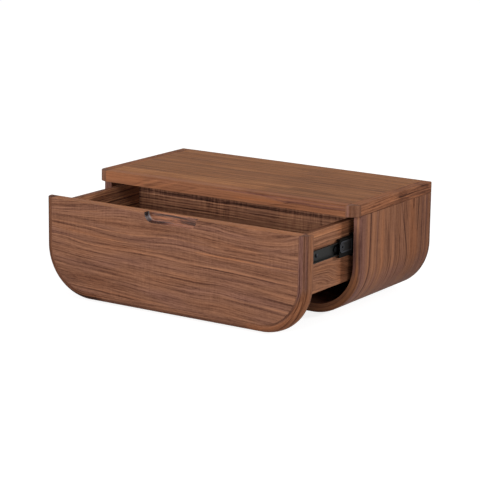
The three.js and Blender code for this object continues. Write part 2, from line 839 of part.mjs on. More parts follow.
function addSlide({ name, sign }) {
  const slide = new THREE.Group();
  slide.position.set(sign * slideFace, 0, slideCentreHeight);
  if (sign < 0) {
    slide.rotation.y = Math.PI;
  }
  nightstand.add(slide);
  const addSlidePiece = (part, geometry, makeMaterial) => {
    piece(slide, `${part}_${name}`, geometry, makeMaterial);
  };

  const cabinetPlaces = alongSlide(cabinetScrewPlaceShares, 0);
  const cabinetHoles = cabinetPlaces.map((place) => placeCabinetScrew(sunkScrewHole(cabinetScrew), place));
  addSlidePiece('cabinet_member', member(cabinetOutline(), cabinetLevels, cabinetHoles), materials.blackSteel);
  cabinetPlaces.forEach((place, index) => {
    const screw = placeCabinetScrew(sunkScrew(cabinetScrew), place);
    addSlidePiece(`cabinet_screw_${index + 1}`, screw, materials.screwSteel);
  });

  const outerWeb = sheetThickness + (webGap - cageThickness) / 2;
  addSlidePiece('outer_cage', cage(outerRace, outerWeb, cageMiddle(intermediateOpening, 0)), materials.cageSteel);

  const intermediate = member(intermediateOutline(), intermediateLevels);
  intermediate.translate(0, -intermediateOpening, 0);
  addSlidePiece('intermediate_member', intermediate, materials.blackSteel);
  addSlidePiece('front_stop', frontStop(), materials.blackPlastic);

  const innerWeb = intermediateLevels.face + sheetThickness + (webGap - cageThickness) / 2;
  const innerMiddle = cageMiddle(intermediateOpening, drawerOpening);
  addSlidePiece('inner_cage', cage(innerRace, innerWeb, innerMiddle), materials.cageSteel);

  const drawerHoles = alongSlide(drawerScrewPlaceShares, 0).map((place) => (
    placeDrawerScrew(panScrewHole(drawerScrew), place)
  ));
  const drawerMember = member(drawerMemberOutline(), drawerLevels, drawerHoles);
  drawerMember.translate(0, -drawerOpening, 0);
  addSlidePiece('drawer_member', drawerMember, materials.blackSteel);
  addSlidePiece('release_lever', releaseLever(), materials.blackPlastic);
  alongSlide(drawerScrewPlaceShares, drawerOpening).forEach((place, index) => {
    const screw = placeDrawerScrew(panScrew(drawerScrew), place);
    addSlidePiece(`drawer_member_screw_${index + 1}`, screw, materials.screwSteel);
  });
}

addTop();
addCase();
addBack();
addDrawerFront();
addDrawerBox();
sides.forEach(addSlide);

export default nightstand;
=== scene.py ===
import math

import bmesh
import bpy
from mathutils import Matrix, Vector


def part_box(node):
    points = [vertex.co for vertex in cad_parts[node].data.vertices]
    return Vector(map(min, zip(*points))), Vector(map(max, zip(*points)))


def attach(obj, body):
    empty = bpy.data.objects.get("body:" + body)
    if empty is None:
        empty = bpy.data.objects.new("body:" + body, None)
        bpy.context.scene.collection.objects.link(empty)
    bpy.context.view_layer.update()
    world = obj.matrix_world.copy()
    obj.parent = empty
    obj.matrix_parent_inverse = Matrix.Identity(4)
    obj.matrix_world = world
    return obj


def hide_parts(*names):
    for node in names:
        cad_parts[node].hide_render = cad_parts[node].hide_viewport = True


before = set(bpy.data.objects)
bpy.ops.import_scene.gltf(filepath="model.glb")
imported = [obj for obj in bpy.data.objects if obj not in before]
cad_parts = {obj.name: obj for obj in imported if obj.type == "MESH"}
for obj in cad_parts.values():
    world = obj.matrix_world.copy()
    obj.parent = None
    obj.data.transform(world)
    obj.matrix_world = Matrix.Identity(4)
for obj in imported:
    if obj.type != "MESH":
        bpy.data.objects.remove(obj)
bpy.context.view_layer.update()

MM = 0.001


# Sizes in mm in the row frame: x to the right, y into the wall, z up

def box_mm(node):
    """A CAD node's lowest and highest corner."""
    return [[round(c / MM, 2) for c in corner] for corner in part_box(node)]


(_, SHELL_FRONT, UNDERSIDE), (HALF, WALL, SHELL_TOP) = box_mm("case_shell")
(_, CASE_LIP_FRONT, _), (_, CASE_LIP_REAR, _) = box_mm("case_front_lipping")
(_, SLAB_FRONT, SLAB_BOTTOM), (SLAB_LIP_END, SLAB_LIP_REAR, SLAB_TOP) = box_mm("top_front_lipping")
(_, FRONT_FACE, _), (_, FRONT_REAR, DRAWER_TOP) = box_mm("drawer_front_panel")
(SIDE_INNER, BOX_FRONT, BOX_BOTTOM), (SIDE_OUTER, BOX_REAR, BOX_TOP) = box_mm("drawer_side_right")
SHELL_THICKNESS = 17
CORNER = 104
CORNER_LEVEL = UNDERSIDE + CORNER
FLOOR_HALF = HALF - CORNER
FIT = 0.3
SIDES = (("left", -1), ("right", 1))


# Objects and the camera

def add_object(name, data):
    """A new object in the scene."""
    thing = bpy.data.objects.new(name, data)
    bpy.context.scene.collection.objects.link(thing)
    return thing


def add_camera():
    """A camera at the photograph's viewing angle. Angles are in radians. Places are in widths of the
    nightstand, from the point below the middle of the top's front edge at the underside's level."""
    turn, tilt, roll = 0.58017, 0.22732, 0.01337
    focal_pixels, picture_pixels, sensor = 1989.34, 480, 36
    aim, distance = Vector((0, 0.2, 0.2)), 6.6081
    right_shift, up_shift = -0.04664, -0.03949
    back = Vector((math.sin(turn) * math.cos(tilt), -math.cos(turn) * math.cos(tilt), math.sin(tilt)))
    level_right = Vector((math.cos(turn), math.sin(turn), 0))
    level_up = back.cross(level_right)
    right = math.cos(roll) * level_right + math.sin(roll) * level_up
    up = math.cos(roll) * level_up - math.sin(roll) * level_right
    place = (aim + back * distance + right * right_shift + up * up_shift) * (2 * HALF * MM)
    place += Vector((0, SLAB_FRONT, UNDERSIDE)) * MM
    data = bpy.data.cameras.new("camera")
    data.sensor_width = sensor
    data.lens = sensor * focal_pixels / picture_pixels
    data.clip_end = 100
    matrix = Matrix((right, up, back)).transposed().to_4x4()
    matrix.translation = place
    camera = add_object("camera", data)
    camera.matrix_world = matrix
    bpy.context.scene.camera = camera


add_camera()


# Node graphs

class Graph:
    """A node tree, written as nested calls. Inputs are numbers or sockets."""

    def __init__(self, tree):
        self.tree = tree

    def node(self, kind, inputs=(), **settings):
        """A new ShaderNode of a kind. Its inputs are in order, or in a dictionary by name or number."""
        node = self.tree.nodes.new("ShaderNode" + kind)
        for key, value in settings.items():
            setattr(node, key, value)
        for key, value in inputs.items() if isinstance(inputs, dict) else enumerate(inputs):
            self.feed(node.inputs[key], value)
        return node

    def feed(self, socket, value):
        if isinstance(value, bpy.types.NodeSocket):
            self.tree.links.new(value, socket)
        elif value is not None:
            socket.default_value = value

    def math(self, operation, first, second=None, third=None, clamp=False):
        inputs = (first, second, third)
        return self.node("Math", inputs, operation=operation, use_clamp=clamp).outputs[0]

    def add(self, first, second):
        return self.math("ADD", first, second)

    def times(self, first, second):
        return self.math("MULTIPLY", first, second)

    def minus(self, first, second):
        return self.math("SUBTRACT", first, second)

    def scale_add(self, first, second, third):
        return self.math("MULTIPLY_ADD", first, second, third)

    def swing(self, signal, reach):
        """A signal from 0 to 1 as one that swings round 0 over a reach."""
        return self.times(self.minus(signal, 0.5), reach)

    def length(self, first, second):
        """The distance that two distances at right angles make."""
        return self.math("SQRT", self.add(self.times(first, first), self.times(second, second)))

    def vector(self, x, y, z):
        return self.node("CombineXYZ", (x, y, z)).outputs[0]

    def split(self, vector):
        return self.node("SeparateXYZ", (vector,)).outputs

    def object_place(self, scale=(1, 1, 1)):
        """The place on the object in metres, scaled along x, y and z."""
        place = self.node("TexCoord").outputs["Object"]
        return self.node("Mapping", {"Vector": place, "Scale": scale}).outputs[0]

    def object_mm(self):
        return [self.times(axis, 1 / MM) for axis in self.split(self.object_place())]

    def noise(self, place, detail, roughness=0.5, dimensions="3D"):
        socket = "W" if dimensions == "1D" else "Vector"
        inputs = {socket: place, "Scale": 1, "Detail": detail, "Roughness": roughness}
        return self.node("TexNoise", inputs, noise_dimensions=dimensions).outputs[0]

    def patches(self, places, sizes, detail, roughness=0.5, layer=0):
        """Noise in patches of the given sizes. Where only two places are given, layer picks the noise."""
        first, second, *third = (self.times(place, 1 / size) for place, size in zip(places, sizes))
        return self.noise(self.vector(first, second, *(third or [layer])), detail, roughness)

    def bands(self, place, size, layer=0, roughness=0.5):
        """Noise in one direction only, in bands of the given size."""
        return self.noise(self.add(self.times(place, 1 / size), layer), 1, roughness, "1D")

    def step(self, value, low, high, start=0, end=1):
        inputs = (value, low, high, start, end)
        return self.node("MapRange", inputs, interpolation_type="SMOOTHSTEP").outputs[0]

    def ramp(self, value, stops):
        node = self.node("ValToRGB", (value,))
        elements = node.color_ramp.elements
        while len(elements) < len(stops):
            elements.new(0.5)
        for element, (place, _) in zip(elements, stops):
            element.position = place
        for element, (_, colour) in zip(elements, stops):
            element.color = (*colour, 1)
        return node.outputs[0]

    def mix(self, factor, first, second, blend="MIX"):
        inputs = {0: factor, 6: first, 7: second}
        return self.node("Mix", inputs, data_type="RGBA", blend_type=blend).outputs[2]

    def curve(self, value, points):
        """A drawn curve through (place, height) points, level beyond its ends."""
        low, high = points[0][0], points[-1][0]
        reach = max(1, max(abs(height) for _, height in points))
        share = self.math("MULTIPLY_ADD", value, 1 / (high - low), -low / (high - low), clamp=True)
        node = self.node("FloatCurve", {"Value": share})
        curve = node.mapping.curves[0]
        for place, _ in points[1:-1]:
            curve.points.new((place - low) / (high - low), 0.5)
        for point, (place, height) in zip(curve.points, points):
            point.location = ((place - low) / (high - low), 0.5 + height / (2 * reach))
        node.mapping.update()
        return self.swing(node.outputs[0], 2 * reach)

    def surface(self, output, colour, roughness, height, strength, distance, gloss=0.5, metallic=0):
        """The finished shader. Its bump follows height, and its distance is in metres."""
        bump = self.node("Bump", {"Height": height, "Strength": strength, "Distance": distance})
        inputs = {"Base Color": colour, "Roughness": roughness, "Normal": bump.outputs[0],
                  "Specular IOR Level": gloss, "Metallic": metallic}
        self.feed(output, self.node("BsdfPrincipled", inputs).outputs[0])


def empty_graph(owner, kind="OutputMaterial"):
    """Empties a material's or world's nodes. Gives it back with its graph and the socket for its shader."""
    owner.use_nodes = True
    owner.node_tree.nodes.clear()
    graph = Graph(owner.node_tree)
    return owner, graph, graph.node(kind).inputs["Surface"]


def new_material(name):
    return empty_graph(bpy.data.materials.new(name))


def linear(*channels):
    """Screen colours from 0 to 255 as linear light."""
    shares = [c / 255 for c in channels]
    return tuple(s / 12.92 if s <= 0.04045 else ((s + 0.055) / 1.055) ** 2.4 for s in shares)


def shaded(colour, share):
    return tuple(min(1, c * share) for c in colour)


# Walnut

WALNUT_TONES = [
    (0, linear(44, 27, 21)),
    (0.25, linear(88, 57, 44)),
    (0.5, linear(129, 89, 68)),
    (0.75, linear(154, 108, 81)),
    (1, linear(186, 134, 100)),
]
WHITE, REDDER, GREYER = (1, 1, 1, 1), (1.12, 0.99, 0.84, 1), (0.9, 0.94, 1.22, 1)

# In mm: the growth rings' middle across the board, how far apart the seeds' boards lie in the noise, and
# how long a streak's ends may fade
PITH = -400
SEED_ALONG, SEED_ACROSS = 911, 577
LONGEST_FADE = 30


def grain_places(g, own_mesh):
    """The places along the grain, across it and through the board, in mm. A mesh made here has them in its
    grain attribute. In a CAD node the grain runs along x."""
    if own_mesh:
        attribute = g.node("Attribute", attribute_type="GEOMETRY", attribute_name="grain")
        return g.split(attribute.outputs["Vector"])
    along, through, across = g.object_mm()
    return along, across, through


def guided(*guides):
    """A drift that follows drawn guide lines. Each guide is a level in the figure and the (place along,
    height) points that it runs through. Between guides the fibres turn from one to the next."""
    def drift(g, along, across, bend):
        below, shift = None, None
        for level, points in sorted(guides, key=lambda guide: guide[0]):
            line = g.curve(along, [(place, height - level) for place, height in points])
            if shift is None:
                shift = line
            else:
                share = g.step(across, below, level)
                shift = g.add(shift, g.times(share, g.minus(line, shift)))
            below = level
        return g.add(g.minus(across, shift), bend)
    return drift


def add_rings(g, shifted, ring, dashes, tone, contrast, figure, dash):
    """Adds the growth rings to the tone: their bands, lines and dashes first, and then finer ones."""
    bands = g.bands(ring, 22)
    lines = g.patches((shifted, ring), (700, 2.6), 1.5, 0.6, layer=0.3)
    for signal, weight in ((bands, 0.3 * figure), (lines, figure), (dashes, dash)):
        tone = g.scale_add(g.minus(signal, 0.5), weight * contrast, tone)

    # Close, nearly even growth lines
    patch = g.patches((shifted, ring), (80, 9), 2, layer=3.7)
    uneven = g.scale_add(g.bands(ring, 11), 9, g.times(ring, 2 * math.pi / 4.1))
    growth = g.times(g.math("SINE", uneven), g.step(patch, 0.3, 0.62, 0.25, 1))
    tone = g.scale_add(growth, 0.085 * contrast, tone)

    # Single dark and light lines, which come and go along the board
    for size, layer, sharing, weight in ((5.5, 90, 0.6, -0.22), (5, 200, -0.6, 0.16)):
        noise = g.bands(ring, size, layer, 0.6)
        line = g.step(g.scale_add(g.minus(patch, 0.5), sharing, noise), 0.6, 0.7)
        tone = g.scale_add(line, weight * contrast * figure, tone)
    return tone


def cross_ripple(g, shifted, across, through):
    """The faint ripple across the grain, stronger in some patches."""
    ripple = g.patches((shifted, across, through), (4.2, 34, 34), 2)
    patch = g.patches((shifted, across), (120, 60), 1, layer=7.7)
    return g.times(g.minus(ripple, 0.5), g.step(patch, 0.35, 0.65, 0.25, 1.6))


def add_streaks(g, along, across, wobble, streaks, tone, hue):
    """Drawn streaks: how much lighter, the half width, the (along, across) points, and how much warmer."""
    for lighter, width, points, *warmer in streaks:
        low, high = points[0][0], points[-1][0]
        middle = sum(level for _, level in points) / len(points)
        line = g.curve(along, [(place, level - middle) for place, level in points])
        waved = g.scale_add(wobble, min(1, width / 1.5), across)
        off = g.times(g.minus(waved, g.add(line, middle)), 1 / width)
        profile = g.math("EXPONENT", g.times(g.times(off, off), -1))
        fade = min(LONGEST_FADE, (high - low) / 3)
        start = g.step(along, low - fade / 2, low + fade / 2)
        end = g.step(along, high - fade / 2, high + fade / 2, 1, 0)
        drawn = g.times(profile, g.times(start, end))
        tone = g.scale_add(drawn, lighter, tone)
        if warmer:
            hue = g.scale_add(drawn, warmer[0], hue)
    return tone, hue


def walnut_colour(g, tone, hue, tint):
    """The colour of a tone from 0 to 1, redder where hue is over 0 and greyer where it is under 0."""
    colour = g.ramp(g.math("ADD", tone, 0, clamp=True), WALNUT_TONES)
    warm = g.mix(g.math("MAXIMUM", hue, 0), WHITE, REDDER)
    cool = g.mix(g.math("MAXIMUM", g.times(hue, -1), 0), WHITE, GREYER)
    colour = g.mix(1, colour, g.mix(1, warm, cool, "MULTIPLY"), "MULTIPLY")
    return g.mix(1, colour, (*tint, 1), "MULTIPLY")


def walnut(name, seed, sway=9, wave=1.2, tint=(1, 1, 1), contrast=1, figure=1, dash=1, ripple=0.015,
           lift=0, warmth=0.5, roughness=0.52, gloss=0.012, drift=None, streaks=(), top_face_light=None,
           own_mesh=True):
    """Walnut under satin lacquer. The fibres sway slowly and in small waves, by sway and wave in mm, and
    follow a drift if given. contrast weighs all the figure, and figure, dash and ripple its lines, dashes
    and ripple. lift makes the wood lighter, and warmth its redder and greyer patches stronger. The top face
    setting is the level of a board's upper face, and how much lighter and warmer that face is painted, as
    painted light, or painted shade where it is darker. own_mesh is for a mesh made here, not a CAD node's."""
    material, g, output = new_material(f"walnut_{name}")
    along, across, through = grain_places(g, own_mesh)
    shifted = g.add(along, SEED_ALONG * seed)
    places = (shifted, across, through)
    small = g.patches(places, (42, 12, 12), 2.5)
    bend = g.add(g.swing(g.patches(places, (210, 75, 75), 1.5), 2 * sway), g.swing(small, 2 * wave))
    place = drift(g, along, across, bend) if drift else g.add(across, bend)
    ring = g.add(g.length(g.minus(place, PITH), through), SEED_ACROSS * seed)

    dashes = g.patches((shifted, ring), (90, 1.9), 1.5, 0.6, layer=5.3)
    fibre = g.patches((shifted, place, through), (14, 1.1, 1.1), 2, 0.6)
    pore = g.step(g.patches((shifted, place, through), (5.5, 0.6, 0.6), 1), 0.6, 0.74)
    tone = g.scale_add(cross_ripple(g, *places), 4 * ripple, 0.5 + lift)
    tone = add_rings(g, shifted, ring, dashes, tone, contrast, figure, dash)
    tone = g.scale_add(g.minus(fibre, 0.5), 0.75 * contrast, tone)
    tone = g.scale_add(pore, -0.14, tone)
    hue = g.swing(g.patches((shifted, ring), (160, 16), 2, layer=9.1), 2 * warmth)
    wobble = g.add(g.swing(small, 1.6), g.swing(fibre, 1.2))
    tone, hue = add_streaks(g, along, across, wobble, streaks, tone, hue)
    # Painted light, or painted shade, on the board's upper face
    if top_face_light:
        level, lighter, warmer = top_face_light
        painted_top = g.step(across, level - 0.3, level - 0.1)
        tone = g.scale_add(painted_top, lighter, tone)
        hue = g.scale_add(painted_top, warmer, hue)

    rough = g.scale_add(pore, 0.12, g.add(roughness, g.swing(fibre, 0.16)))
    height = g.minus(g.add(fibre, g.times(dashes, 0.5)), g.times(pore, 0.8))
    g.surface(output, walnut_colour(g, tone, hue, tint), rough, height, 0.35, 0.00012, gloss)
    return material


# Metal, plastic and plain wood

def metal(name, colour, roughness, metallic, gloss=0.12):
    """Satin metal, brushed along y and faintly mottled."""
    material, g, output = new_material(name)
    brushed = g.noise(g.object_place((900, 108, 900)), 2, 0.6)
    mottle = g.noise(g.object_place((90, 90, 90)), 3, 0.6)
    both = g.add(g.times(brushed, 0.5), g.times(mottle, 0.5))
    shade = g.ramp(both, [(0.3, shaded(colour, 0.78)), (0.7, shaded(colour, 1.25))])
    rough = g.add(roughness - 0.04, g.times(mottle, 0.08))
    g.surface(output, shade, rough, brushed, 0.15, 0.00005, gloss, metallic)
    return material


def plastic(name, colour, roughness, painted_highlight=None):
    """Moulded plastic with a fine spark-eroded grain. Its last argument gives the places where a paler colour
    is painted in as a highlight.
    """
    material, g, output = new_material(name)
    grain = g.noise(g.object_place((1600, 1600, 1600)), 1)
    shade = g.ramp(grain, [(0.35, colour), (0.65, shaded(colour, 1.4))])
    if painted_highlight:
        # A paler colour mixed in as a painted highlight
        shade = g.mix(painted_highlight(g), shade, (*linear(46, 47, 52), 1))
    rough = g.add(roughness - 0.05, g.times(grain, 0.1))
    g.surface(output, shade, rough, grain, 0.2, 0.00004, 0.12)
    return material


def stop_painted_highlight(g):
    """Where a highlight is painted on the front stop: on its outer face, but close round its head only in a
    ring. The painted highlight fades towards the rear."""
    (_, front, low), (face, _, high) = box_mm("front_stop_right")
    head_y, head_z = front + 9, (low + high) / 2
    ring_edges = ((2.5, 0), (2.8, 1), (3.7, 1), (4.1, 0), (5.4, 0), (5.8, 1))
    x, y, z = g.object_mm()
    on_face = g.step(g.math("ABSOLUTE", x), face - 0.35, face - 0.15)
    off_y, off_z = g.minus(y, head_y), g.minus(z, head_z)
    stops = [(reach / 10, (highlit, highlit, highlit)) for reach, highlit in ring_edges]
    rings = g.ramp(g.times(g.length(off_y, off_z), 0.1), stops)
    return g.times(g.times(on_face, g.step(off_y, 4, 20, 1, 0.3)), rings)


def plain_wood(name, colour):
    """Unfigured wood for the hidden cleats and dowels, with its fibres along x."""
    material, g, output = new_material(name)
    fibre = g.noise(g.object_place((30, 600, 600)), 4, 0.6)
    shade = g.ramp(fibre, [(0.3, shaded(colour, 0.8)), (0.7, shaded(colour, 1.2))])
    g.surface(output, shade, g.add(0.55, g.times(fibre, 0.2)), fibre, 0.3, 0.0001)
    return material


# Meshes in mm, from outlines that are lists of 2-D points

SMOOTH_ANGLE = math.radians(32)


def mesh_of(vertices, faces):
    mesh = bpy.data.meshes.new("piece")
    mesh.from_pydata(vertices, [], faces)
    shape = bmesh.new()
    shape.from_mesh(mesh)
    bmesh.ops.recalc_face_normals(shape, faces=shape.faces)
    shape.to_mesh(mesh)
    shape.free()
    return mesh


def tube(rings):
    """A closed body through rings of equally many points, with a flat face at each end."""
    count = len(rings[0])
    vertices = [point for ring in rings for point in ring]
    last = len(vertices) - count
    faces = [tuple(range(count)), tuple(range(last, last + count))]
    for start in range(0, last, count):
        for i in range(count):
            a, b = start + i, start + (i + 1) % count
            faces.append((a, b, b + count, a + count))
    return mesh_of(vertices, faces)


def fillet(points, radii, steps=3):
    """A closed outline with each corner rounded by its radius."""
    outline = []
    for i, (point, radius) in enumerate(zip(points, radii)):
        here = Vector(point)
        if radius <= 0:
            outline.append((here.x, here.y))
            continue
        before = (Vector(points[i - 1]) - here).normalized()
        after = (Vector(points[(i + 1) % len(points)]) - here).normalized()
        half_angle = before.angle(after) / 2
        reach = radius / math.tan(half_angle)
        centre = here + (before + after).normalized() * (radius / math.sin(half_angle))
        start = here + before * reach - centre
        end = here + after * reach - centre
        turn = start.angle_signed(end)
        for step in range(steps + 1):
            spoke = start.copy()
            spoke.rotate(Matrix.Rotation(-turn * step / steps, 2))
            outline.append((centre.x + spoke.x, centre.y + spoke.y))
    return outline


def rectangle(x0, x1, y0, y1, radii):
    return fillet([(x0, y0), (x1, y0), (x1, y1), (x0, y1)], radii)


def anticlockwise(outline):
    area = sum(ax * by - bx * ay for (ax, ay), (bx, by) in zip([outline[-1], *outline], outline))
    return outline if area > 0 else outline[::-1]


def inset(outline, amount):
    """An anticlockwise outline moved inwards by one amount all round, less at a very sharp corner."""
    moved = []
    for i, point in enumerate(outline):
        here = Vector(point)
        back = (here - Vector(outline[i - 1])).normalized()
        ahead = (Vector(outline[(i + 1) % len(outline)]) - here).normalized()
        normal_back = Vector((-back.y, back.x))
        normal_ahead = Vector((-ahead.y, ahead.x))
        spread = max(0.2, 1 + normal_back.dot(normal_ahead))
        moved.append(tuple(here + (normal_back + normal_ahead) * (amount / spread)))
    return moved


def quarter_turn(steps, start=0):
    """Even steps of angle from start to a right angle."""
    return [start + (math.pi / 2 - start) * step / steps for step in range(steps + 1)]


def eased(radius, steps=3):
    """The rings of an eased rim, from the end inwards: how far from the end, and how far inset."""
    return [(radius * (1 - math.cos(angle)), radius * (1 - math.sin(angle))) for angle in quarter_turn(steps)]


def stack(outline, levels, axis):
    """A body of one outline at several levels along an axis, each inset by its own amount. The outline's
    directions are the other two axes in the order x, y, z."""
    outline = anticlockwise(outline)
    rings = []
    for level, amount in levels:
        ring = inset(outline, amount) if amount else outline
        rings.append([{"x": (level, u, v), "y": (u, level, v), "z": (u, v, level)}[axis] for u, v in ring])
    return tube(rings)


def prism(outline, low, high, axis, low_ease, high_ease):
    """An outline extruded along an axis, with both rims eased over."""
    levels = [(low + along, amount) for along, amount in eased(low_ease)]
    levels += [(high - along, amount) for along, amount in reversed(eased(high_ease))]
    return stack(outline, levels, axis)


def u_arcs(radius, steps):
    """Points round the U's lower corners from left to right, each with its direction outwards."""
    arcs = []
    for side, start in ((-1, math.pi), (1, 1.5 * math.pi)):
        for step in range(steps + 1):
            angle = start + step / steps * math.pi / 2
            out = (math.cos(angle), math.sin(angle))
            arcs.append(((side * FLOOR_HALF + radius * out[0], CORNER_LEVEL + radius * out[1]), out))
    return arcs


def sweep_u(section, top, ease, steps=48):
    """A section of (inward, y) points swept along the U, from its left end round to its right end at the
    level top. Both ends are eased over."""
    section = anticlockwise(section)
    left = [(((-HALF, top - drop), (-1, 0)), amount) for drop, amount in eased(ease)]
    right = [(((HALF, top - drop), (1, 0)), amount) for drop, amount in reversed(eased(ease))]
    rings = []
    for ((x, z), (out_x, out_z)), amount in [*left, *((arc, 0) for arc in u_arcs(CORNER, steps)), *right]:
        points = inset(section, amount) if amount else section
        rings.append([(x - inward * out_x, y, z - inward * out_z) for inward, y in points])
    return tube(rings)


def carved(mesh, cutter):
    """mesh minus cutter, exactly."""
    pair = [add_object(data.name, data) for data in (mesh, cutter)]
    boolean = pair[0].modifiers.new("cut", "BOOLEAN")
    boolean.operation = "DIFFERENCE"
    boolean.solver = "EXACT"
    boolean.object = pair[1]
    graph = bpy.context.evaluated_depsgraph_get()
    result = bpy.data.meshes.new_from_object(pair[0].evaluated_get(graph))
    for part in pair:
        bpy.data.objects.remove(part)
    return result


def finish_mesh(name, mesh, body, node, material, grain):
    """Makes a mesh the piece that replaces a CAD node. grain turns a point's x, y and z into its places
    along the grain, across it and through the board."""
    attribute = mesh.attributes.new("grain", "FLOAT_VECTOR", "POINT")
    attribute.data.foreach_set("vector", [place for vertex in mesh.vertices for place in grain(*vertex.co)])
    mesh.transform(Matrix.Scale(MM, 4))
    mesh.polygons.foreach_set("use_smooth", [True] * len(mesh.polygons))
    mesh.set_sharp_from_angle(angle=SMOOTH_ANGLE)
    mesh.materials.append(material)
    mesh.name = name
    piece = add_object(name, mesh)
    weighted = piece.modifiers.new("weighted_normals", "WEIGHTED_NORMAL")
    weighted.keep_sharp = True
    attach(piece, body)
    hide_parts(node)
    return piece


# Places in the grain of a point at x, y and z

def flat_grain(x, y, z):
    return x, y, z


def upright_grain(x, y, z):
    return x, z, y


def depth_grain(x, y, z):
    return y, z, x


def block_grain(x, y, z):
    return z, x, y


def bottom_grain(x, y, z):
    """As flat_grain, but moved across to another part of the figure."""
    return x, y + 300, z


def u_grain(x, z):
    """Arc length along the U from the middle of its floor, positive to the right, and distance inwards."""
    side = 1 if x >= 0 else -1
    if z >= CORNER_LEVEL:
        return side * (FLOOR_HALF + CORNER * math.pi / 2 + z - CORNER_LEVEL), HALF - abs(x)
    if abs(x) <= FLOOR_HALF:
        return x, z - UNDERSIDE
    beside, below = abs(x) - FLOOR_HALF, CORNER_LEVEL - z
    return side * (FLOOR_HALF + CORNER * math.atan2(beside, below)), CORNER - math.hypot(beside, below)


def shell_grain(x, y, z):
    along, inward = u_grain(x, z)
    return along, y, inward


def edge_grain(x, y, z):
    along, inward = u_grain(x, z)
    return along, inward, y


def round_grain(x, y, z):
    """As edge_grain, but across runs round the drawer front's round-over."""
    along, inward = u_grain(x, z)
    return along, inward - (y - FRONT_FACE), y


# Walnut finishes. Guides and streaks are drawn in the mm of each board's grain

top_wood = walnut("top", seed=1, sway=5, contrast=0.68, lift=0.12, ripple=0.01,
                  tint=(1.035, 0.952, 0.752), streaks=(
    (0.13, 8, [(-310, -250), (-200, -250), (-120, -244), (-60, -238), (0, -229), (60, -220), (110, -226)]),
    (0.15, 42, [(-310, -290), (-100, -285), (70, -272)], 0.3),
    (-0.08, 5, [(-290, -143), (-150, -141), (0, -140), (150, -150), (290, -150)], -0.3),
    (-0.08, 5, [(-290, -53), (-180, -50), (-60, -52)], 0.3),
    (-0.05, 5, [(-240, -95), (-100, -93)]),
    (-0.08, 5, [(-150, -186), (0, -187), (60, -182), (220, -185)]),
    (-0.06, 6, [(-230, -211), (-50, -215)], 0.4),
    (-0.1, 6, [(110, -216), (140, -222), (190, -228), (210, -236)]),
    (-0.06, 9, [(90, -266), (290, -268)]),
    (0.05, 5, [(-260, -118), (0, -113), (80, -118)], 0.3),
    (0.05, 7, [(-280, -26), (-60, -30), (40, -34)]),
    (-0.05, 150, [(60, -150), (500, -150)]),
    (-0.1, 3, [(-310, -1), (310, -1)], 1.2),
    (-0.16, 1.6, [(-200, -281.5), (310, -281.5)], -1.5),
))
FRONT_GUIDES = (
    (-44, [(-310, -22), (-280, -27), (-240, -31), (-200, -33), (-140, -35.5), (-100, -37.5), (-60, -41),
           (0, -44), (60, -46.5), (110, -45), (150, -48), (200, -52), (260, -57), (310, -60)]),
    (6, [(-310, 20), (-290, 19), (-240, 15), (-200, 10.5), (-160, 8.5), (-100, 9), (-50, 8.5), (0, 6),
         (60, 4), (120, 3), (160, 1.5), (200, -1), (285, -5), (310, -6)]),
    (37, [(-310, 42), (-290, 41), (-240, 38), (-200, 36), (-140, 33), (-110, 31.5), (-80, 32), (-30, 35),
          (0, 37), (30, 36), (70, 34.5), (100, 31.5), (140, 29.5), (200, 28.5), (285, 27), (310, 27)]),
    (85, [(-310, 65), (-280, 68), (-220, 75), (-180, 80), (-140, 87), (-100, 90), (0, 85), (100, 82),
          (130, 78), (160, 76), (200, 76), (240, 80), (285, 90), (310, 96)]),
)
